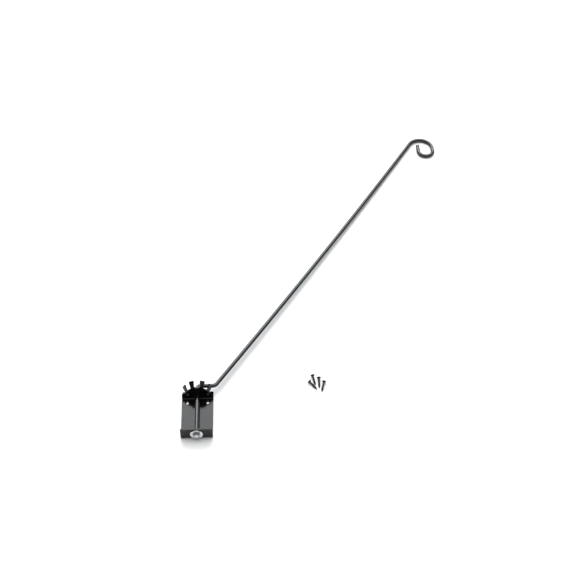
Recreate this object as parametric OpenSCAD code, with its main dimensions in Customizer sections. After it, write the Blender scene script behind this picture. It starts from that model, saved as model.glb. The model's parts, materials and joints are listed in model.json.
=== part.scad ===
// Swing-arm hanging bracket, lying on its back with its four wall screws beside it.
// +Z points out of the wall plate, +Y up the wall, +X to the right.
// The origin is the centre of the four screw holes, on the plate's back face.

/* [Wall bracket] */
// Width of the wall plate and its bottom flange
plate_w = 60; // [56:1:70]
// Thickness of the bent sheet
sheet_t = 2.5; // [2:0.1:3]
// Height of the plate above the screw pattern's centre
plate_top = 59.5; // [57:0.5:70]
// Depth of the outer face of the bottom flange below the screw pattern's centre
flange_drop = 46.5; // [45:0.5:60]
// How far the bottom flange stands out from the wall
flange_out = 28.6; // [26:0.2:34]
// Inside radius of the sheet's bends
bend_r = 1.5; // [1:0.1:2]
// Radius of the plate's and the flange's free corners
corner_r = 1.5; // [1:0.1:3]

/* [Screw holes] */
// Spacing of the screw holes across the plate
hole_gap_x = 39; // [34:1:42]
// Spacing of the screw holes up the plate
hole_gap_y = 68; // [60:1:70]
// Diameter of a screw hole at the back face
hole_d = 5; // [4:0.1:5.5]
// Diameter of a screw hole's countersink at the front face
sink_d = 9; // [8:0.1:10]

/* [Index plate] */
// Height of the index plate's lower face above the screw pattern's centre
index_y = 44.5; // [44:0.5:48]
// Radius of the index plate's round front about the shaft
fan_r = 21; // [19.5:0.1:22]
// Distance from the wall's surface at which the plate's full-width root ends
root_out = 12; // [9:0.5:13]
// Width of a finger where it leaves the plate
finger_root_w = 7.2; // [6.5:0.1:7.4]
// Width of a finger across its tip
finger_tip_w = 10; // [8:0.1:10.5]
// Length of a finger's straight part
finger_len = 10.5; // [9:0.1:12]
// Angle through which a finger is bent up
finger_bend = 65; // [60:1:80]
// Angle of the two inner fingers to either side of straight out from the wall
inner_finger_at = 22.5; // [22:0.5:24]
// Angle of the two outer fingers to either side of straight out from the wall
outer_finger_at = 65; // [64:0.5:67.5]
// Leg of the fillet weld under the index plate
weld_leg = 2; // [1.5:0.1:3]

/* [Swing arm] */
// Diameter of the round rod
rod_d = 8; // [8:0.1:8]
// Distance of the shaft's axis from the wall
shaft_z = 14; // [13.5:0.1:15]
// Height of the arm's short run above the screw pattern's centre, arm lifted
run_y = 64.9; // [64:0.1:66]
// Centreline radius of the bend at the top of the shaft
shaft_bend_r = 6; // [6:0.1:7]
// Distance from the shaft's axis to the elbow's sharp corner
elbow_x = 33.7; // [33:0.1:40]
// Centreline radius of the elbow
elbow_r = 10; // [8:0.5:14]
// Angle through which the elbow turns the rod
elbow_turn = 56.2; // [50:0.1:65]
// Centreline radius of the long run's slight bow
bow_r = 20300; // [15000:100:40000]
// Angle that the long run turns through along its bow
run_bow = 2.3; // [1:0.1:2.6]
// Centreline radius of the hook's outer curve
hook_outer_r = 27.5; // [24:0.5:32]
// Straight part between the hook's two curves
hook_side = 10.5; // [8:0.5:14]
// Centreline radius of the hook's inner curve
hook_inner_r = 16.5; // [15:0.5:18]
// Straight end of the hook
hook_tip = 18.5; // [14:0.5:20]

/* [Fasteners] */
// Outside diameter of the retaining washer
washer_d = 24; // [20:0.5:26]
// Thickness of the retaining washer
washer_t = 1.6; // [1.2:0.1:2]
// Width of the lock nut across its flats
nut_af = 13; // [12.7:0.1:13]
// Thickness of the lock nut
nut_t = 4; // [4:0.1:5]
// Length of a wall screw
screw_len = 24; // [22:0.1:30]
// Diameter of a wall screw's head
screw_head_d = 8.4; // [7:0.1:8.4]
// Diameter over a wall screw's thread
screw_d = 4.2; // [3.5:0.1:4.2]

/* [Hidden] */
$fn = 96;
eps = 0.01;
lap = 0.02;
bend_thinning = 0.02; // a bend is this much thinner in radius, so that its ends sink into the straights
link = 2; // straight stretch between two bends

shaft_clearance = 0.1;   // radial, in the flange, the index plate and the washer
end_play = 0.05;         // between the flange, the washer and the nut
thread_clearance = 0.05; // radial, inside the nut
edge_break = 0.5;        // chamfers on the shaft hole, the nut and the rod's ends

rod_r = rod_d / 2;
shaft_hole_r = rod_r + shaft_clearance;
thread_r = 0.925 * rod_r;
bend_outer_r = bend_r + sheet_t;
washer_y = -flange_drop - end_play - washer_t;
nut_y = washer_y - end_play - nut_t;
shaft_foot_y = nut_y - edge_break;
shaft_len = run_y - shaft_bend_r - shaft_foot_y;
elbow_tangent = elbow_r * tan(elbow_turn / 2);
short_run = elbow_x - shaft_bend_r - elbow_tangent;
hook_heading = elbow_turn + run_bow;

// Every stretch of the rod after its threaded end: [length, 0], or [bend radius, turn to the left].
arm_path = [
    [shaft_len - nut_t - edge_break, 0],
    [shaft_bend_r, -90],
    [short_run, 0],
    [elbow_r, elbow_turn],
    [link, 0],
    [bow_r, run_bow],
    [link, 0],
    [hook_outer_r, -90 - hook_heading],
    [hook_side, 0],
    [hook_inner_r, -180],
    [hook_tip, 0]
];

// Distance from the shaft's axis to the hook's outermost centreline point, along the arm.
bow_start = elbow_x + elbow_tangent * cos(elbow_turn);
bow_chord = 2 * bow_r * sin(run_bow / 2);
hook_start = bow_start + bow_chord * cos(elbow_turn + run_bow / 2)
    + link * (cos(elbow_turn) + cos(hook_heading));
arm_reach = hook_start + hook_outer_r * (1 + sin(hook_heading));
// The arm leans back until its far end rests on the plane of the wall.
arm_tilt = asin((shaft_z - rod_r) / arm_reach);

// Loose wall screws on the plane of the wall: [head x, head y, heading of the point].
screw_places = [[215, 77, -51], [222, 91.4, -78], [234, 85.2, -90], [243.8, 75.8, -104]];
screw_head_h = 0.5 * (screw_head_d - screw_d) + 0.6;
screw_rim_h = 0.4;
screw_point_h = 6;
// A screw lies on the rim of its head and on the last full turn of its thread.
screw_lean = atan((screw_head_d - screw_d) / 2 / (screw_len - screw_point_h - screw_rim_h));
recess_depth = 1.8;
recess_w = 0.9;
recess_span = 3.6;

// A sheet with two rounded corners at its free end, from y = 0 up.
module sheet_outline(w, h) {
    translate([-w / 2, 0])
        square([w, h - corner_r]);
    translate([-w / 2 + corner_r, 0])
        square([w - 2 * corner_r, h]);
    for (side = [-1, 1])
        translate([side * (w / 2 - corner_r), h - corner_r])
            circle(corner_r);
}

// Children in the shaft's own frame: its axis is Z, and -Y points away from the wall.
module on_shaft(height) {
    translate([0, height, shaft_z])
        rotate([-90, 0, 0])
            children();
}

module plate_sheet() {
    translate([0, -flange_drop + bend_outer_r, 0])
        linear_extrude(sheet_t)
            sheet_outline(plate_w, plate_top + flange_drop - bend_outer_r);
}

module flange_sheet() {
    translate([0, -flange_drop, bend_outer_r])
        rotate([90, 0, 0])
            mirror([0, 0, 1])
                linear_extrude(sheet_t)
                    sheet_outline(plate_w, flange_out - bend_outer_r);
}

module flange_bend() {
    translate([-plate_w / 2, -flange_drop + bend_outer_r, bend_outer_r])
        rotate([0, 90, 0])
            rotate([0, 0, -90])
                rotate_extrude(angle = 90)
                    translate([bend_r, 0])
                        square([sheet_t, plate_w]);
}

module screw_hole() {
    sink_h = (sink_d - hole_d) / 2;
    translate([0, 0, -1])
        cylinder(d = hole_d, h = sheet_t + 2);
    translate([0, 0, sheet_t - sink_h])
        cylinder(d1 = hole_d, d2 = sink_d + 2 * eps, h = sink_h + eps);
}

module wall_bracket() {
    color("#1b1c1e")
    difference() {
        union() {
            plate_sheet();
            flange_sheet();
            flange_bend();
        }
        for (x = [-1, 1], y = [-1, 1])
            translate([x * hole_gap_x / 2, y * hole_gap_y / 2, 0])
                screw_hole();
        on_shaft(-flange_drop - 1)
            cylinder(r = shaft_hole_r, h = sheet_t + 2);
    }
}

module index_outline() {
    wall_y = shaft_z - sheet_t;
    root_y = shaft_z - root_out;
    shoulder = 22;
    difference() {
        circle(fan_r);
        translate([-plate_w, wall_y])
            square(2 * plate_w);
    }
    polygon([
        [-plate_w / 2, wall_y], [plate_w / 2, wall_y], [plate_w / 2, root_y],
        [fan_r * cos(shoulder), -fan_r * sin(shoulder)],
        [-fan_r * cos(shoulder), -fan_r * sin(shoulder)],
        [-plate_w / 2, root_y]
    ]);
}

// A finger's side view, from its root on the plate, round the bend and up its straight part.
module finger_profile() {
    steps = 12;
    overlap = 4;
    top_r = bend_r;
    tip = [cos(finger_bend), sin(finger_bend)] * finger_len;
    outer = [for (i = [0 : steps]) bend_point(bend_outer_r, i / steps)];
    inner = [for (i = [steps : -1 : 0]) bend_point(top_r, i / steps)];
    polygon(concat(
        [[fan_r - overlap, 0]], outer, [outer[steps] + tip, inner[0] + tip], inner,
        [[fan_r - overlap, sheet_t]]
    ));
}

// A point on the finger's bend, from its start at the plate (part 0) to its end (part 1).
function bend_point(r, part) =
    [fan_r + r * sin(finger_bend * part), bend_outer_r - r * cos(finger_bend * part)];

// A finger's front view: parallel sides through the bend, then flaring to a tip with cut corners.
module finger_front() {
    flare_h = bend_outer_r - bend_r * cos(finger_bend);
    tip_h = flare_h + finger_len * sin(finger_bend);
    root = finger_root_w / 2;
    tip = finger_tip_w / 2;
    polygon([
        [-root, -1], [root, -1], [root, flare_h], [tip, tip_h - corner_r], [tip - corner_r, tip_h + eps],
        [corner_r - tip, tip_h + eps], [-tip, tip_h - corner_r], [-root, flare_h]
    ]);
}

// One upturned finger, pointing along +X from the shaft's axis.
module finger() {
    intersection() {
        translate([0, finger_tip_w / 2, 0])
            rotate([90, 0, 0])
                linear_extrude(finger_tip_w)
                    finger_profile();
        rotate([90, 0, 90])
            linear_extrude(2 * fan_r)
                finger_front();
    }
}

module index_plate() {
    color("#17181a")
    on_shaft(index_y)
    difference() {
        union() {
            linear_extrude(sheet_t)
                index_outline();
            for (side = [-1, 1], angle = [inner_finger_at, outer_finger_at])
                rotate([0, 0, side * angle - 90])
                    finger();
        }
        translate([0, 0, -1])
            cylinder(r = shaft_hole_r, h = sheet_t + 2);
        translate([0, 0, sheet_t - edge_break])
            cylinder(r1 = shaft_hole_r, r2 = shaft_hole_r + edge_break + eps, h = edge_break + eps);
    }
}

module index_weld() {
    color("#202124")
    translate([-plate_w / 2, index_y, sheet_t])
        rotate([90, 0, 90])
            linear_extrude(plate_w)
                polygon([[0, 0], [-weld_leg, 0], [0, weld_leg]]);
}

// The rest of the rod from stretch i on, starting at the origin and heading along +Y.
// Straight stretches lap the bends beside them by a hair, so that all join into one solid.
module rod_from(i) {
    if (i < len(arm_path)) {
        size = arm_path[i][0];
        turn = arm_path[i][1];
        side = turn > 0 ? 1 : -1;
        if (turn == 0) {
            translate([0, -lap, 0])
                rotate([-90, 0, 0])
                    cylinder(r = rod_r, h = size + 2 * lap);
            translate([0, size, 0])
                rod_from(i + 1);
        } else {
            translate([-side * size, 0, 0])
                rotate([0, 0, side > 0 ? 0 : 180 + turn])
                    rotate_extrude(angle = abs(turn))
                        translate([size, 0])
                            circle(rod_r - bend_thinning);
            translate([side * size * (cos(turn) - 1), size * abs(sin(turn)), 0])
                rotate([0, 0, turn])
                    rod_from(i + 1);
        }
    }
}

module threaded_end() {
    rotate([-90, 0, 0]) {
        cylinder(r1 = thread_r - edge_break, r2 = thread_r, h = edge_break);
        translate([0, 0, edge_break])
            cylinder(r = thread_r, h = nut_t);
    }
}

module swing_arm() {
    color("#1b1c1e")
    translate([0, shaft_foot_y, shaft_z])
        rotate([0, arm_tilt, 0]) {
            threaded_end();
            translate([0, edge_break + nut_t, 0])
                rod_from(0);
        }
}

module retaining_washer() {
    color("#d4d5d8")
    on_shaft(washer_y)
    difference() {
        cylinder(d = washer_d, h = washer_t);
        translate([0, 0, -1])
            cylinder(r = shaft_hole_r, h = washer_t + 2);
    }
}

module lock_nut() {
    corner_d = nut_af / cos(30);
    color("#c9cacd")
    on_shaft(nut_y)
    difference() {
        intersection() {
            rotate([0, 0, 30])
                cylinder(d = corner_d, h = nut_t, $fn = 6);
            union() {
                cylinder(d1 = nut_af, d2 = nut_af + 2 * edge_break * tan(60), h = edge_break);
                translate([0, 0, edge_break])
                    cylinder(d = nut_af + 2 * edge_break * tan(60), h = nut_t - edge_break);
            }
        }
        translate([0, 0, -1])
            cylinder(r = thread_r + thread_clearance, h = nut_t + 2);
    }
}

// A screw along +Z with the top of its head at the origin.
module screw_body() {
    difference() {
        union() {
            cylinder(d = screw_head_d, h = screw_rim_h);
            translate([0, 0, screw_rim_h])
                cylinder(d1 = screw_head_d, d2 = screw_d, h = screw_head_h - screw_rim_h);
            translate([0, 0, screw_head_h])
                cylinder(d = screw_d, h = screw_len - screw_head_h - screw_point_h);
            translate([0, 0, screw_len - screw_point_h])
                cylinder(d1 = screw_d, d2 = 0, h = screw_point_h);
        }
        for (turn = [0, 90])
            rotate([0, 0, turn])
                translate([-recess_span / 2, -recess_w / 2, -1])
                    cube([recess_span, recess_w, recess_depth + 1]);
    }
}

module screw(i) {
    place = screw_places[i];
    axis_h = screw_head_d / 2 * cos(screw_lean) + screw_rim_h * sin(screw_lean);
    color("#141416")
    translate([place[0], place[1], axis_h])
        rotate([0, 0, place[2]])
            rotate([0, 90 + screw_lean, 0])
                screw_body();
}

wall_bracket();
index_plate();
index_weld();
swing_arm();
retaining_washer();
lock_nut();
for (i = [0 : len(screw_places) - 1])
    screw(i);
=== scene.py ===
"""Swing-arm hanging bracket: the looks of every piece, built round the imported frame. Metres throughout."""

import json
import math

import bmesh
import bpy
from mathutils import Matrix, Vector


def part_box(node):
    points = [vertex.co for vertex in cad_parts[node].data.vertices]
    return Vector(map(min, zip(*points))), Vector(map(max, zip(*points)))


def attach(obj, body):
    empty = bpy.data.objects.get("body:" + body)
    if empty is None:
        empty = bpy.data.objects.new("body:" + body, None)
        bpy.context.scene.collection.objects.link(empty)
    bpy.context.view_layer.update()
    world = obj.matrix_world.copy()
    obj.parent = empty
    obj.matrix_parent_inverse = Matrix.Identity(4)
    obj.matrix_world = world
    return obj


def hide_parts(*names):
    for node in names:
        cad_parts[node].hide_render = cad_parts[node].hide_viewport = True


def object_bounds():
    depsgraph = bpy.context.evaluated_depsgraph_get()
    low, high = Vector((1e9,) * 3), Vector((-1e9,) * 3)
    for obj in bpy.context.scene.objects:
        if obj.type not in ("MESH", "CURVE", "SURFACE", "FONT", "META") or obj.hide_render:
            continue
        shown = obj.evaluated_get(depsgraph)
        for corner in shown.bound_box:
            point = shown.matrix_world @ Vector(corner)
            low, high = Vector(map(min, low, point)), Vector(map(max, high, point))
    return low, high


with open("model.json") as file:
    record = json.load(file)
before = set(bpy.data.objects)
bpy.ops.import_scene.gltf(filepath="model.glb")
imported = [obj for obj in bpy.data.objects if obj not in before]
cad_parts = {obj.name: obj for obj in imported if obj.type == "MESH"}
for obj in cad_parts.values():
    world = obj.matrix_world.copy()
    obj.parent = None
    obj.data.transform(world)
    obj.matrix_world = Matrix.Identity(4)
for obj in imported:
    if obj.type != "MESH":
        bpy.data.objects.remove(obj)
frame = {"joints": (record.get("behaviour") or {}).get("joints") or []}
cad_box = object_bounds()

MM = 0.001
TABLE_HEIGHT = 0.0

# Places and sizes that the pieces take from the frame's own nodes.
plate_low, plate_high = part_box("wall_bracket")
fan_low, fan_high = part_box("index_plate")
weld_low, weld_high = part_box("index_weld")
arm_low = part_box("swing_arm")[0]
washer_low, washer_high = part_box("retaining_washer")
nut_low, nut_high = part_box("lock_nut")
SHAFT = Vector(next(j for j in frame["joints"] if j["name"] == "arm_swing")["pos_m"])

# ---------------------------------------------------------------------------------------------
# Materials


def new_material(name, base, metallic, roughness, specular=0.5):
    """A node material with its shader, and the helper that adds nodes to it."""
    mat = bpy.data.materials.new(name)
    mat.use_nodes = True
    shader = mat.node_tree.nodes["Principled BSDF"]
    shader.inputs["Base Color"].default_value = (*base, 1)
    shader.inputs["Metallic"].default_value = metallic
    shader.inputs["Roughness"].default_value = roughness
    shader.inputs["Specular IOR Level"].default_value = specular
    return mat, shader


def add(mat, kind, **settings):
    node = mat.node_tree.nodes.new(kind)
    for key, value in settings.items():
        if key in node.inputs:
            node.inputs[key].default_value = value
        else:
            setattr(node, key, value)
    return node


def join(mat, source, target):
    mat.node_tree.links.new(source, target)


def object_noise(mat, scale, detail=3.0, roughness=0.55):
    """Noise that is fixed to the piece, in metres."""
    coords = add(mat, "ShaderNodeTexCoord")
    noise = add(mat, "ShaderNodeTexNoise")
    noise.inputs["Scale"].default_value = scale
    noise.inputs["Detail"].default_value = detail
    noise.inputs["Roughness"].default_value = roughness
    join(mat, coords.outputs["Object"], noise.inputs["Vector"])
    return noise


def spread(mat, source, low, high, out_low, out_high):
    """Maps a value's low..high to out_low..out_high, clamped."""
    node = add(mat, "ShaderNodeMapRange")
    node.inputs["From Min"].default_value = low
    node.inputs["From Max"].default_value = high
    node.inputs["To Min"].default_value = out_low
    node.inputs["To Max"].default_value = out_high
    join(mat, source, node.inputs["Value"])
    return node.outputs["Result"]


def two_colours(mat, factor, first, second):
    node = add(mat, "ShaderNodeMix", data_type="RGBA")
    node.inputs[6].default_value = (*first, 1)
    node.inputs[7].default_value = (*second, 1)
    join(mat, factor, node.inputs[0])
    return node.outputs[2]


def bump(mat, shader, layers):
    """Stacks bump layers, each (height output, strength, depth in metres)."""
    normal = None
    for height, strength, depth in layers:
        node = add(mat, "ShaderNodeBump")
        node.inputs["Strength"].default_value = strength
        node.inputs["Distance"].default_value = depth
        join(mat, height, node.inputs["Height"])
        if normal is not None:
            join(mat, normal, node.inputs["Normal"])
        normal = node.outputs["Normal"]
    join(mat, normal, shader.inputs["Normal"])


def powder_coat(name, orange_peel, gloss, shine, coat):
    """Semi-gloss black powder coat: fine orange peel, faint cloudiness and a few dust nibs."""
    mat, shader = new_material(name, (0.002, 0.0021, 0.0024), 0.0, gloss, shine)
    cloud = object_noise(mat, 60, 4)
    join(mat, two_colours(mat, cloud.outputs["Fac"], (0.0015, 0.0016, 0.0018), (0.0032, 0.0033, 0.0037)),
         shader.inputs["Base Color"])
    smudge = object_noise(mat, 140, 5, 0.6)
    join(mat, spread(mat, smudge.outputs["Fac"], 0.35, 0.7, 0.8 * gloss, 1.25 * gloss),
         shader.inputs["Roughness"])
    peel = object_noise(mat, 900, 2, 0.4)
    nib = add(mat, "ShaderNodeTexVoronoi")
    nib.inputs["Scale"].default_value = 240
    join(mat, add(mat, "ShaderNodeTexCoord").outputs["Object"], nib.inputs["Vector"])
    nibs = spread(mat, nib.outputs["Distance"], 0.02, 0.07, 1, 0)
    bump(mat, shader, [(peel.outputs["Fac"], orange_peel, 0.00006), (nibs, 0.12, 0.00005)])
    shader.inputs["Coat Weight"].default_value = coat
    shader.inputs["Coat Roughness"].default_value = 0.6 * gloss
    return mat


def zinc_plate(name, tone):
    """Zinc with fine crystal mottling and a slight blue passivation; tone 1 is bright, and less paints the
    zinc darker as painted shade.
    """
    cool = [tone * part for part in (0.82, 0.84, 0.87)]
    warm = [tone * part for part in (0.93, 0.93, 0.92)]
    mat, shader = new_material(name, cool, 1.0, 0.3)
    mottle = object_noise(mat, 700, 4, 0.65)
    join(mat, two_colours(mat, mottle.outputs["Fac"], cool, warm), shader.inputs["Base Color"])
    join(mat, spread(mat, mottle.outputs["Fac"], 0.3, 0.7, 0.2, 0.38), shader.inputs["Roughness"])
    grain = object_noise(mat, 2600, 2, 0.5)
    bump(mat, shader, [(mottle.outputs["Fac"], 0.15, 0.00006), (grain.outputs["Fac"], 0.2, 0.00003)])
    return mat


def screw_black(name):
    """Black phosphate-and-oil steel: duller than the powder coat, with a grey cast on worn crests."""
    mat, shader = new_material(name, (0.013, 0.013, 0.014), 0.35, 0.42)
    wear = object_noise(mat, 420, 4, 0.6)
    join(mat, two_colours(mat, wear.outputs["Fac"], (0.008, 0.008, 0.009), (0.028, 0.028, 0.030)),
         shader.inputs["Base Color"])
    join(mat, spread(mat, wear.outputs["Fac"], 0.3, 0.7, 0.3, 0.5), shader.inputs["Roughness"])
    grit = object_noise(mat, 3000, 2, 0.5)
    bump(mat, shader, [(grit.outputs["Fac"], 0.2, 0.00003)])
    return mat


# ---------------------------------------------------------------------------------------------
# Mesh helpers


def finish_piece(name, bm, material, body, replaced, smooth_angle=35):
    """Turns the mesh into a piece that rides on a body and stands for a CAD node."""
    bmesh.ops.recalc_face_normals(bm, faces=bm.faces)
    mesh = bpy.data.meshes.new(name)
    bm.to_mesh(mesh)
    bm.free()
    for face in mesh.polygons:
        face.use_smooth = True
    mesh.set_sharp_from_angle(angle=math.radians(smooth_angle))
    mesh.materials.append(material)
    piece = bpy.data.objects.new(name, mesh)
    bpy.context.scene.collection.objects.link(piece)
    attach(piece, body)
    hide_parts(replaced)
    return piece


def soften_edges(piece, width, angle):
    """Rounds the edges sharper than the angle, and keeps the flat faces flat in the light."""
    edge = piece.modifiers.new("edge", "BEVEL")
    edge.width = width
    edge.segments = 3
    edge.limit_method = "ANGLE"
    edge.angle_limit = math.radians(angle)
    edge.use_clamp_overlap = True
    normals = piece.modifiers.new("normals", "WEIGHTED_NORMAL")
    normals.keep_sharp = True


def ring_of(bm, points):
    return [bm.verts.new(p) for p in points]


def circle_points(radius, sides, height=0.0, centre=(0.0, 0.0)):
    points = []
    for i in range(sides):
        a = 2 * math.pi * i / sides
        points.append(Vector((centre[0] + radius * math.cos(a), centre[1] + radius * math.sin(a), height)))
    return points


def skin(bm, rings, loop=False):
    """Quads between each ring and the next, and from the last back to the first for a closed tube."""
    pairs = list(zip(rings, rings[1:]))
    if loop:
        pairs.append((rings[-1], rings[0]))
    for low, high in pairs:
        for i in range(len(low)):
            j = (i + 1) % len(low)
            bm.faces.new((low[i], low[j], high[j], high[i]))


def cover(bm, loops):
    """Closes the flat area inside the first loop of vertices and outside the others."""
    edges = []
    for verts in loops:
        for a, b in zip(verts, verts[1:] + verts[:1]):
            edges.append(bm.edges.get((a, b)) or bm.edges.new((a, b)))
    bmesh.ops.triangle_fill(bm, edges=edges, use_beauty=True, use_dissolve=False)


def rounded(corners, steps=6):
    """A closed outline from (x, y, radius) corners, each turned into an arc."""
    outline = []
    for i, (x, y, radius) in enumerate(corners):
        here = Vector((x, y))
        if radius == 0:
            outline.append(here)
            continue
        back = (Vector(corners[i - 1][:2]) - here).normalized()
        ahead = (Vector(corners[(i + 1) % len(corners)][:2]) - here).normalized()
        half = back.angle(ahead) / 2
        tangent = radius / math.tan(half)
        centre = here + (back + ahead).normalized() * (radius / math.sin(half))
        first = here + back * tangent - centre
        last = here + ahead * tangent - centre
        for k in range(steps + 1):
            outline.append(centre + first.lerp(last, k / steps).normalized() * radius)
    return outline


def sheet_skin(bm, outline, thickness, holes):
    """A flat sheet from depth 0 to its thickness. A hole is (x, y, [(radius, depth), ...] from the top)."""
    top = ring_of(bm, [Vector((p.x, p.y, thickness)) for p in outline])
    bottom = ring_of(bm, [Vector((p.x, p.y, 0)) for p in outline])
    skin(bm, [top, bottom])
    tops = [top]
    bottoms = [bottom]
    for x, y, profile in holes:
        rings = [ring_of(bm, circle_points(radius, HOLE_SIDES, depth, (x, y))) for radius, depth in profile]
        skin(bm, rings)
        tops.append(rings[0])
        bottoms.append(rings[-1])
    cover(bm, tops)
    cover(bm, bottoms)


def cut_across(bm, direction, distances):
    """Cuts the sheet along lines across a plan direction, so that it can bend there."""
    for distance in distances:
        whole = list(bm.verts) + list(bm.edges) + list(bm.faces)
        bmesh.ops.bisect_plane(bm, geom=whole, plane_co=direction * distance, plane_no=direction, dist=1e-8)


def fold(point, start, angle):
    """Where a flat sheet's point (along, across, depth) goes when the sheet bends up from start."""
    run = point.x - start
    if run <= 0:
        return point
    turn = min(run / BEND_MID, angle)
    left = run - turn * BEND_MID
    radius = BEND_OUTSIDE - point.z
    along = start + radius * math.sin(turn) + left * math.cos(turn)
    up = BEND_OUTSIDE - radius * math.cos(turn) + left * math.sin(turn)
    return Vector((along, point.y, up))


def on_shaft(height):
    """Places a turned part: its own +Z becomes +Y along the shaft's axis, from this height."""
    return Matrix.Translation((SHAFT.x, height, SHAFT.z)) @ Matrix.Rotation(math.radians(-90), 4, "X")


# ---------------------------------------------------------------------------------------------
# Sheet-metal sizes

SHEET = 2.5 * MM
BEND_INSIDE = 1.5 * MM
BEND_OUTSIDE = BEND_INSIDE + SHEET
BEND_MID = BEND_INSIDE + SHEET / 2
BEND_STEPS = 10
CORNER = 1.5 * MM
EDGE_ROUND = 0.35 * MM
EDGE_BREAK = 0.5 * MM
HOLE_SIDES = 48
SHAFT_HOLE = 4.1 * MM

# ---------------------------------------------------------------------------------------------
# Wall bracket: one bent sheet, four countersunk screw holes and the shaft's hole

SCREW_GAP_X = 39 * MM
SCREW_GAP_Y = 68 * MM
SCREW_HOLE = 2.5 * MM
COUNTERSINK = 4.5 * MM


def wall_bracket(material):
    """The blank lies with +X down the wall, then its lower end is bent forward into the flange."""
    half = (plate_high.x - plate_low.x) / 2
    fold_start = -plate_low.y - BEND_OUTSIDE
    fold_length = BEND_MID * math.pi / 2
    flat_end = fold_start + fold_length + plate_high.z - BEND_OUTSIDE
    corners = [
        (-plate_high.y, -half, CORNER), (flat_end, -half, CORNER),
        (flat_end, half, CORNER), (-plate_high.y, half, CORNER),
    ]
    sink = COUNTERSINK - SCREW_HOLE
    screw_profile = [(COUNTERSINK, SHEET), (SCREW_HOLE, SHEET - sink), (SCREW_HOLE, 0)]
    holes = []
    for side_x in (-1, 1):
        for side_y in (-1, 1):
            holes.append((side_y * SCREW_GAP_Y / 2, side_x * SCREW_GAP_X / 2, screw_profile))
    shaft_along = fold_start + fold_length + SHAFT.z - BEND_OUTSIDE
    holes.append((shaft_along, 0, [(SHAFT_HOLE, SHEET), (SHAFT_HOLE, 0)]))

    bm = bmesh.new()
    sheet_skin(bm, rounded(corners), SHEET, holes)
    bend_lines = [fold_start + fold_length * i / BEND_STEPS for i in range(BEND_STEPS + 1)]
    cut_across(bm, Vector((1, 0, 0)), bend_lines)
    for vert in bm.verts:
        bent = fold(vert.co, fold_start, math.pi / 2)
        vert.co = Vector((bent.y, -bent.x, bent.z))
    piece = finish_piece("bent_wall_plate", bm, material, "bracket", "wall_bracket", 40)
    soften_edges(piece, EDGE_ROUND, 32)


# ---------------------------------------------------------------------------------------------
# Index plate: a flat blank whose four fingers are bent up, and the weld that holds it

FAN_RADIUS = 21 * MM
ROOT_OUT = 12 * MM
ROOT_CORNER = 1.2 * MM
FINGER_ROOT = 7.2 * MM
FINGER_TIP = 10 * MM
FINGER_STRAIGHT = 10.5 * MM
FINGER_BEND = math.radians(65)
FINGER_INSET = 0.4 * MM
FINGER_ANGLES = [25, 67.5, 112.5, 155]
SLOT_FILLET = 2.6 * MM
TIP_CORNER = 0.9 * MM


def finger_corners(angle):
    """One finger's corners in the flat blank, about the shaft: root, flare and tip on each side."""
    flare = FAN_RADIUS + BEND_MID * FINGER_BEND
    tip = flare + FINGER_STRAIGHT
    half = [
        (FAN_RADIUS - FINGER_INSET, FINGER_ROOT / 2, SLOT_FILLET),
        (flare, FINGER_ROOT / 2, 0),
        (tip, FINGER_TIP / 2, TIP_CORNER),
    ]
    whole = [(along, -across, radius) for along, across, radius in half] + half[::-1]
    turn = Matrix.Rotation(math.radians(angle), 2)
    corners = []
    for along, across, radius in whole:
        x, y = turn @ Vector((along, across))
        corners.append((x, y, radius))
    return corners


def bend_finger(point):
    """Bends a point of the flat blank up if it lies on a finger."""
    bearing = math.degrees(math.atan2(point.y, point.x))
    nearest = min(FINGER_ANGLES, key=lambda a: abs(a - bearing))
    spin = Matrix.Rotation(math.radians(nearest), 3, "Z")
    flat = spin.inverted() @ point
    if abs(flat.y) > FINGER_TIP / 2 + EDGE_BREAK:
        return point
    return spin @ fold(flat, FAN_RADIUS, FINGER_BEND)


def index_plate(material):
    """The blank lies with +X to the right and +Y out from the wall, about the shaft."""
    half = (fan_high.x - fan_low.x) / 2
    wall = SHEET - SHAFT.z
    root = ROOT_OUT - SHAFT.z
    corners = [(half, wall, 0), (half, root, ROOT_CORNER)]
    for angle in FINGER_ANGLES:
        corners += finger_corners(angle)
    corners += [(-half, root, ROOT_CORNER), (-half, wall, 0)]
    hole = [(SHAFT_HOLE + EDGE_BREAK, SHEET), (SHAFT_HOLE, SHEET - EDGE_BREAK), (SHAFT_HOLE, 0)]

    bm = bmesh.new()
    sheet_skin(bm, rounded(corners), SHEET, [(0, 0, hole)])
    bend_length = BEND_MID * FINGER_BEND
    for angle in FINGER_ANGLES:
        direction = Vector((math.cos(math.radians(angle)), math.sin(math.radians(angle)), 0))
        cut_across(bm, direction, [FAN_RADIUS + bend_length * i / BEND_STEPS for i in range(BEND_STEPS + 1)])
    for vert in bm.verts:
        bent = bend_finger(vert.co)
        vert.co = Vector((SHAFT.x + bent.x, fan_low.y + bent.z, SHAFT.z + bent.y))
    piece = finish_piece("indexing_plate", bm, material, "bracket", "index_plate", 40)
    soften_edges(piece, EDGE_ROUND, 32)


WELD_STEPS = 240
WELD_SIDES = 12
WELD_RIPPLE = 1.7 * MM
WELD_RIPPLE_DEPTH = 0.06 * MM
WELD_END = 1.2 * MM
WELD_END_SIZE = 0.55
WELD_RIPPLE_CURVE = 0.3


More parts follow.
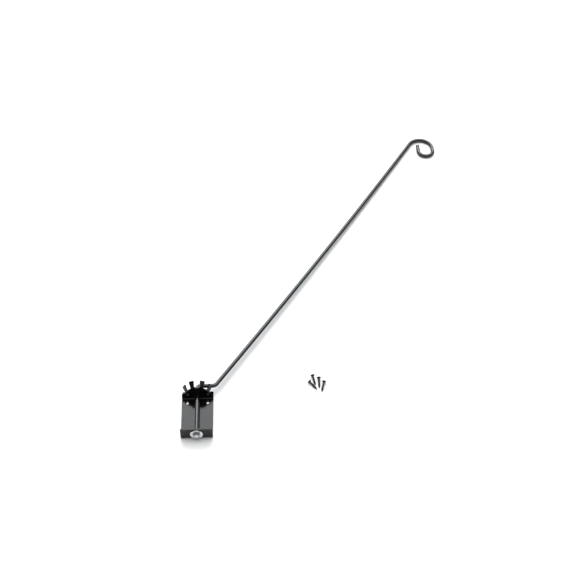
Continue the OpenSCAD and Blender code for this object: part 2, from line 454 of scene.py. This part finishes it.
def weld_bead(material):
    """A hollow fillet weld under the index plate, with a faint ripple for each puddle."""
    leg = weld_high.z - weld_low.z
    length = weld_high.x - weld_low.x
    bm = bmesh.new()
    rings = []
    for i in range(WELD_STEPS + 1):
        run = length * i / WELD_STEPS
        end = min(run, length - run, WELD_END) / WELD_END
        size = leg * (WELD_END_SIZE + (1 - WELD_END_SIZE) * math.sqrt(max(0.0, 1 - (1 - end) ** 2)))
        points = [Vector((weld_low.x + run, weld_high.y, weld_low.z))]
        for k in range(WELD_SIDES + 1):
            a = math.pi / 2 * k / WELD_SIDES
            phase = (run / WELD_RIPPLE + WELD_RIPPLE_CURVE * math.sin(2 * a)) % 1
            ripple = WELD_RIPPLE_DEPTH * math.sin(2 * a) * phase
            low = size * (1 - math.sin(a)) + ripple
            high = size * (1 - math.cos(a)) + ripple
            points.append(points[0] + Vector((0, -low, high)))
        rings.append(ring_of(bm, points))
    skin(bm, rings)
    bm.faces.new(rings[0])
    bm.faces.new(rings[-1])
    finish_piece("weld_bead", bm, material, "bracket", "index_weld", 50)


# ---------------------------------------------------------------------------------------------
# Swing arm: one bent rod, threaded at its foot

ROD = 4 * MM
ROD_SIDES = 40
RUN_Y = 64.9 * MM
SHAFT_BEND = 6 * MM
ELBOW_X = 33.7 * MM
ELBOW_BEND = 10 * MM
ELBOW_TURN = 56.2
RUN_BOW_RADIUS = 20300 * MM
RUN_BOW = 2.3
HOOK_OUTER = 27.5 * MM
HOOK_SIDE = 10.5 * MM
HOOK_INNER = 16.5 * MM
HOOK_TIP = 18.5 * MM
LINK = 2 * MM
RINGS_PER_STRAIGHT = 12
DEGREES_PER_RING = 3.0
THREAD_RADIUS = 3.7 * MM
THREAD_PITCH = 1.25 * MM
THREAD_DEPTH = 0.4 * MM
THREAD_RING = 0.08 * MM
HOOK_EDGE = 0.4 * MM
HOOK_EDGE_PARTS = (0.35, 0.7, 1.0)
THREAD_FLANK = 1.25


def arm_stretches():
    """The rod's stretches from its foot: (length, 0), or (centreline radius, turn to the left in degrees)."""
    elbow_tangent = ELBOW_BEND * math.tan(math.radians(ELBOW_TURN / 2))
    return [
        (RUN_Y - SHAFT_BEND - arm_low.y, 0),
        (SHAFT_BEND, -90),
        (ELBOW_X - SHAFT_BEND - elbow_tangent, 0),
        (ELBOW_BEND, ELBOW_TURN),
        (LINK, 0),
        (RUN_BOW_RADIUS, RUN_BOW),
        (LINK, 0),
        (HOOK_OUTER, -90 - ELBOW_TURN - RUN_BOW),
        (HOOK_SIDE, 0),
        (HOOK_INNER, -180),
        (HOOK_TIP, 0),
    ]


def walk(stretches):
    """Stations (distance, point, heading) along the stretches, from the origin heading along +Y."""
    point = Vector((0, 0, 0))
    heading = math.pi / 2
    distance = 0.0
    stations = [(distance, point, heading)]
    for size, degrees in stretches:
        turn = math.radians(degrees)
        length = abs(turn) * size if degrees else size
        count = max(RINGS_PER_STRAIGHT, math.ceil(abs(degrees) / DEGREES_PER_RING))
        first, first_heading = point, heading
        for i in range(1, count + 1):
            heading = first_heading + turn * i / count
            if degrees:
                chord = 2 * size * math.sin(abs(turn) * i / count / 2)
            else:
                chord = size * i / count
            middle = (first_heading + heading) / 2
            point = first + Vector((math.cos(middle), math.sin(middle), 0)) * chord
            stations.append((distance + length * i / count, point, heading))
        distance += length
    return stations


def rod_ring(bm, point, heading, radius_at):
    """A ring round the rod at a point; radius_at gives its radius at each angle."""
    side = Vector((-math.sin(heading), math.cos(heading), 0))
    verts = []
    for i in range(ROD_SIDES):
        a = 2 * math.pi * i / ROD_SIDES
        way = side * math.cos(a) + Vector((0, 0, math.sin(a)))
        verts.append(bm.verts.new(point + way * radius_at(a)))
    return verts


def thread_wave(distance, angle, pitch):
    """0 on a thread's crest and 1 in its root."""
    phase = (distance / pitch - angle / (2 * math.pi)) % 1
    return min(1.0, max(0.0, THREAD_FLANK - abs(4 * phase - 2) * THREAD_FLANK))


def swing_arm(coat, bare_steel):
    """The rod is coated all over but for its thread, which is left bare for the nut."""
    thread_end = nut_high.y - nut_low.y + EDGE_BREAK
    stations = walk(arm_stretches())
    reach = max(point.x for distance, point, heading in stations)
    tilt = math.asin((SHAFT.z - ROD) / reach)
    bm = bmesh.new()
    rings = []
    for i in range(math.ceil(thread_end / THREAD_RING) + 1):
        distance = min(i * THREAD_RING, thread_end)
        chamfer = max(0.0, EDGE_BREAK - distance)
        fade = min(1.0, (thread_end - distance) / EDGE_BREAK)

        def radius_at(angle):
            groove = THREAD_DEPTH * fade * thread_wave(distance, angle, THREAD_PITCH)
            return min(THREAD_RADIUS - groove, THREAD_RADIUS - chamfer)

        rings.append(rod_ring(bm, Vector((0, distance, 0)), math.pi / 2, radius_at))
    for distance, point, heading in stations:
        if distance >= thread_end:
            rings.append(rod_ring(bm, point, heading, lambda angle: ROD))
    tip, tip_heading = stations[-1][1:]
    ahead = Vector((math.cos(tip_heading), math.sin(tip_heading), 0))
    bmesh.ops.translate(bm, verts=rings[-1], vec=-ahead * HOOK_EDGE)
    for part in HOOK_EDGE_PARTS:
        drop = HOOK_EDGE * (1 - math.sqrt(1 - part ** 2))
        point = tip - ahead * HOOK_EDGE * (1 - part)
        rings.append(rod_ring(bm, point, tip_heading, lambda angle: ROD - drop))
    skin(bm, rings)
    bm.faces.new(rings[0])
    bm.faces.new(rings[-1])
    place = Matrix.Translation((SHAFT.x, arm_low.y, SHAFT.z)) @ Matrix.Rotation(tilt, 4, "Y")
    bmesh.ops.transform(bm, matrix=place, verts=bm.verts)
    piece = finish_piece("bent_rod_arm", bm, coat, "arm", "swing_arm", 50)
    piece.data.materials.append(bare_steel)
    for face in piece.data.polygons:
        face.material_index = int(face.center.y < arm_low.y + thread_end)


# ---------------------------------------------------------------------------------------------
# Retaining washer and lock nut

TURNED_SIDES = 96
WASHER_ROLL = 0.5 * MM
WASHER_STEPS = 6


def retaining_washer(material):
    """A stamped washer: its outer face rolls over at the rim and the hole."""
    radius = (washer_high.x - washer_low.x) / 2
    thick = washer_high.y - washer_low.y
    profile = [(SHAFT_HOLE, thick), (radius - EDGE_BREAK / 2, thick), (radius, thick - EDGE_BREAK / 2)]
    for i in range(WASHER_STEPS + 1):
        a = math.pi / 2 * i / WASHER_STEPS
        profile.append((radius - WASHER_ROLL * (1 - math.cos(a)), WASHER_ROLL * (1 - math.sin(a))))
    for i in range(WASHER_STEPS + 1):
        a = math.pi / 2 * i / WASHER_STEPS
        profile.append((SHAFT_HOLE + WASHER_ROLL * (1 - math.sin(a)), WASHER_ROLL * (1 - math.cos(a))))
    bm = bmesh.new()
    rings = [ring_of(bm, circle_points(r, TURNED_SIDES, z)) for r, z in profile]
    skin(bm, rings, loop=True)
    bmesh.ops.transform(bm, matrix=on_shaft(washer_low.y), verts=bm.verts)
    finish_piece("zinc_washer", bm, material, "washer", "retaining_washer", 30)


CHAMFER_STEPS = 5
CHAMFER_ANGLE = math.radians(60)
NUT_THREAD_STEPS = 40
NUT_CLEARANCE = 0.05 * MM


def hex_radius(angle, across_flats):
    """Distance from a hexagon's centre to its side at this angle, with flats facing left and right."""
    sector = (angle + math.pi / 6) % (math.pi / 3) - math.pi / 6
    return across_flats / 2 / math.cos(sector)


def lock_nut(material):
    """A thin hex nut with both faces chamfered and a cut thread inside."""
    flats = nut_high.x - nut_low.x
    thick = nut_high.y - nut_low.y
    bore = THREAD_RADIUS + NUT_CLEARANCE
    bm = bmesh.new()
    rings = []
    heights = [EDGE_BREAK * i / CHAMFER_STEPS for i in range(CHAMFER_STEPS + 1)]
    heights += [thick - z for z in reversed(heights)]
    for z in heights:
        cone = flats / 2 + min(z, thick - z) * math.tan(CHAMFER_ANGLE)
        points = []
        for i in range(TURNED_SIDES):
            a = 2 * math.pi * i / TURNED_SIDES
            r = min(hex_radius(a, flats), cone)
            points.append(Vector((r * math.cos(a), r * math.sin(a), z)))
        rings.append(ring_of(bm, points))
    for k in range(NUT_THREAD_STEPS + 1):
        z = thick * (1 - k / NUT_THREAD_STEPS)
        flare = max(0.0, EDGE_BREAK - min(z, thick - z))
        points = []
        for i in range(TURNED_SIDES):
            a = 2 * math.pi * i / TURNED_SIDES
            r = max(bore + THREAD_DEPTH * (1 - thread_wave(z, a, THREAD_PITCH)), bore + flare)
            points.append(Vector((r * math.cos(a), r * math.sin(a), z)))
        rings.append(ring_of(bm, points))
    skin(bm, rings, loop=True)
    bmesh.ops.transform(bm, matrix=on_shaft(nut_low.y), verts=bm.verts)
    finish_piece("hex_lock_nut", bm, material, "arm", "lock_nut", 25)


# ---------------------------------------------------------------------------------------------
# Loose wall screws

SCREW_PLACES = [  # head's x and y in millimetres, and the heading of the point in degrees
    (215, 77, -51), (222, 91.4, -78), (234, 85.2, -90), (243.8, 75.8, -104),
]
SCREW_LENGTH = 24 * MM
SCREW_HEAD = 4.2 * MM
SCREW_RIM = 0.4 * MM
SCREW_TOP_EDGE = 0.1 * MM
SCREW_CREST = 2.1 * MM
SCREW_CORE = 1.5 * MM
SCREW_SHANK = 1.85 * MM
SCREW_NECK = 2.75 * MM
SCREW_PLAIN = 7.5 * MM
SCREW_POINT = 6 * MM
SCREW_POINT_ROUND = 0.8
SCREW_TIP = 0.02 * MM
SCREW_SHARPNESS = 2.5
SCREW_FADE = 1.6
SCREW_PITCH = 1.6 * MM
SCREW_RING = 0.16 * MM
SCREW_SIDES = 32
RECESS_SPAN = 2.2 * MM
RECESS_HALF = 0.5 * MM
RECESS_DEPTH = 1.7 * MM
RECESS_TAPER = 0.45


def cross_points(scale, depth):
    """A cross-recess outline, scaled about its centre."""
    corners = []
    for quarter in range(4):
        turn = Matrix.Rotation(math.pi / 2 * quarter, 2)
        for x, y in ((RECESS_SPAN, -RECESS_HALF), (RECESS_SPAN, RECESS_HALF), (RECESS_HALF, RECESS_HALF)):
            corners.append(turn @ Vector((x, y)) * scale)
    return [Vector((p.x, p.y, depth)) for p in corners]


def screw_radius(z, angle):
    """The screw's radius below its head: neck, plain shank, then a thread that runs out at the point."""
    from_tip = SCREW_LENGTH - z
    if z < SCREW_NECK:
        return SCREW_HEAD + (SCREW_SHANK - SCREW_HEAD) * (z - SCREW_RIM) / (SCREW_NECK - SCREW_RIM)
    if z < SCREW_PLAIN:
        return SCREW_SHANK
    taper = min(1.0, from_tip / SCREW_POINT)
    start = min(1.0, (z - SCREW_PLAIN) / SCREW_PITCH)
    core = SCREW_SHANK + (SCREW_CORE - SCREW_SHANK) * start
    sharp = (1 - thread_wave(z, angle, SCREW_PITCH)) ** SCREW_SHARPNESS
    crest = (SCREW_CREST - core) * sharp * start * min(1.0, SCREW_FADE * taper)
    return max(SCREW_TIP, core * taper ** SCREW_POINT_ROUND + crest)


def wall_screw(index, material):
    bm = bmesh.new()
    top = ring_of(bm, circle_points(SCREW_HEAD - SCREW_TOP_EDGE, SCREW_SIDES, 0))
    rim = [ring_of(bm, circle_points(SCREW_HEAD, SCREW_SIDES, z)) for z in (SCREW_TOP_EDGE, SCREW_RIM)]
    recess = [ring_of(bm, cross_points(1, 0)), ring_of(bm, cross_points(RECESS_TAPER, RECESS_DEPTH))]
    cover(bm, [top, recess[0]])
    skin(bm, recess)
    bm.faces.new(recess[1])
    rings = [top, *rim]
    z = SCREW_RIM + SCREW_RING
    while z < SCREW_LENGTH:
        points = []
        for i in range(SCREW_SIDES):
            a = 2 * math.pi * i / SCREW_SIDES
            r = screw_radius(z, a)
            points.append(Vector((r * math.cos(a), r * math.sin(a), z)))
        rings.append(ring_of(bm, points))
        z += SCREW_RING
    skin(bm, rings)
    bm.faces.new(rings[-1])
    x, y, heading = SCREW_PLACES[index]
    lean = math.atan((SCREW_HEAD - SCREW_CREST) / (SCREW_LENGTH - SCREW_POINT - SCREW_RIM))
    height = SCREW_HEAD * math.cos(lean) + SCREW_RIM * math.sin(lean)
    place = (
        Matrix.Translation((x * MM, y * MM, height))
        @ Matrix.Rotation(math.radians(heading), 4, "Z")
        @ Matrix.Rotation(math.pi / 2 + lean, 4, "Y")
    )
    bmesh.ops.transform(bm, matrix=place, verts=bm.verts)
    name = f"screw_{index + 1}"
    finish_piece(f"wood_{name}", bm, material, "bracket", name, 45)


# ---------------------------------------------------------------------------------------------
# Floor, light and camera

TABLE_HALF = 2.2


def white_floor():
    """A plain white table."""
    mesh = bpy.data.meshes.new("table")
    corners = [
        (-TABLE_HALF, -TABLE_HALF, TABLE_HEIGHT), (TABLE_HALF, -TABLE_HALF, TABLE_HEIGHT),
        (TABLE_HALF, TABLE_HALF, TABLE_HEIGHT), (-TABLE_HALF, TABLE_HALF, TABLE_HEIGHT),
    ]
    mesh.from_pydata(corners, [], [(0, 1, 2, 3)])
    floor = bpy.data.objects.new("table", mesh)
    bpy.context.scene.collection.objects.link(floor)
    mat, shader = new_material("table_white", (0.86, 0.86, 0.86), 0.0, 0.6, 0.2)
    grain = object_noise(mat, 300, 2)
    join(mat, spread(mat, grain.outputs["Fac"], 0.3, 0.7, 0.55, 0.65), shader.inputs["Roughness"])
    mesh.materials.append(mat)


def direction(bearing, elevation):
    """Unit vector towards a bearing (0 is +Y, 90 is +X) and an elevation."""
    b, e = math.radians(bearing), math.radians(elevation)
    return Vector((math.sin(b) * math.cos(e), math.cos(b) * math.cos(e), math.sin(e)))


def aim_at(obj, place, target):
    obj.location = place
    obj.rotation_euler = (target - place).to_track_quat("-Z", "Y").to_euler()


def soft_box(name, target, bearing, elevation, distance, width, height, radiance, colour):
    light = bpy.data.lights.new(name, "AREA")
    light.shape = "RECTANGLE"
    light.size = width
    light.size_y = height
    light.energy = radiance * math.pi * width * height
    light.color = colour
    box = bpy.data.objects.new(name, light)
    bpy.context.scene.collection.objects.link(box)
    aim_at(box, target + direction(bearing, elevation) * distance, target)


def studio(target):
    soft_box("north_box", target, -4, 46, 6.0, 6.5, 3.2, 6.2, (0.96, 0.985, 1.0))
    soft_box("top_box", target, 0, 84, 6.5, 10.0, 5.0, 2.7, (1.0, 1.0, 1.0))
    soft_box("south_card", target, 180, 50, 6.0, 9.0, 4.5, 0.5, (1.0, 1.0, 1.0))
    world = bpy.data.worlds.new("room")
    world.use_nodes = True
    tree = world.node_tree
    room = tree.nodes["Background"]
    room.inputs["Color"].default_value = (0.9, 0.95, 1.0, 1)
    room.inputs["Strength"].default_value = 0.12
    backdrop = tree.nodes.new("ShaderNodeBackground")
    backdrop.inputs["Color"].default_value = (1, 1, 1, 1)
    backdrop.inputs["Strength"].default_value = 1.0
    path = tree.nodes.new("ShaderNodeLightPath")
    mix = tree.nodes.new("ShaderNodeMixShader")
    tree.links.new(path.outputs["Is Camera Ray"], mix.inputs["Fac"])
    tree.links.new(room.outputs["Background"], mix.inputs[1])
    tree.links.new(backdrop.outputs["Background"], mix.inputs[2])
    tree.links.new(mix.outputs["Shader"], tree.nodes["World Output"].inputs["Surface"])
    bpy.context.scene.world = world


CAMERA_LENS = 73.1
CAMERA_SENSOR = 36
CAMERA_DISTANCE = 2.431
CAMERA_BEARING = 181.8
CAMERA_ELEVATION = 48.3
AIM_OFFSET = Vector((-0.070, -0.038, 0))


def camera(target):
    data = bpy.data.cameras.new("camera")
    data.lens = CAMERA_LENS
    data.sensor_width = CAMERA_SENSOR
    data.clip_end = 100
    cam = bpy.data.objects.new("camera", data)
    bpy.context.scene.collection.objects.link(cam)
    aim_at(cam, target + direction(CAMERA_BEARING, CAMERA_ELEVATION) * CAMERA_DISTANCE, target)
    bpy.context.scene.camera = cam


# ---------------------------------------------------------------------------------------------
# The whole scene

black_coat = powder_coat("black_powder_coat", 0.1, 0.16, 0.24, 0.12)
rod_coat = powder_coat("black_rod_coat", 0.06, 0.18, 0.5, 0.3)
bright_zinc = zinc_plate("bright_zinc", 1.0)
# The nut's zinc is a darker copy of the washer's zinc: painted shade for the dark patch round the nut.
shade_darkened_zinc = zinc_plate("shade_darkened_zinc", 0.45)
black_steel = screw_black("black_screw_steel")

wall_bracket(black_coat)
index_plate(black_coat)
weld_bead(black_coat)
swing_arm(rod_coat, bright_zinc)
retaining_washer(bright_zinc)
lock_nut(shade_darkened_zinc)
for number in range(len(SCREW_PLACES)):
    wall_screw(number, black_steel)

box_centre = (cad_box[0] + cad_box[1]) / 2
view_centre = Vector((box_centre.x, box_centre.y, TABLE_HEIGHT)) + AIM_OFFSET
white_floor()
studio(view_centre)
camera(view_centre)
bpy.context.scene.view_settings.view_transform = "Standard"
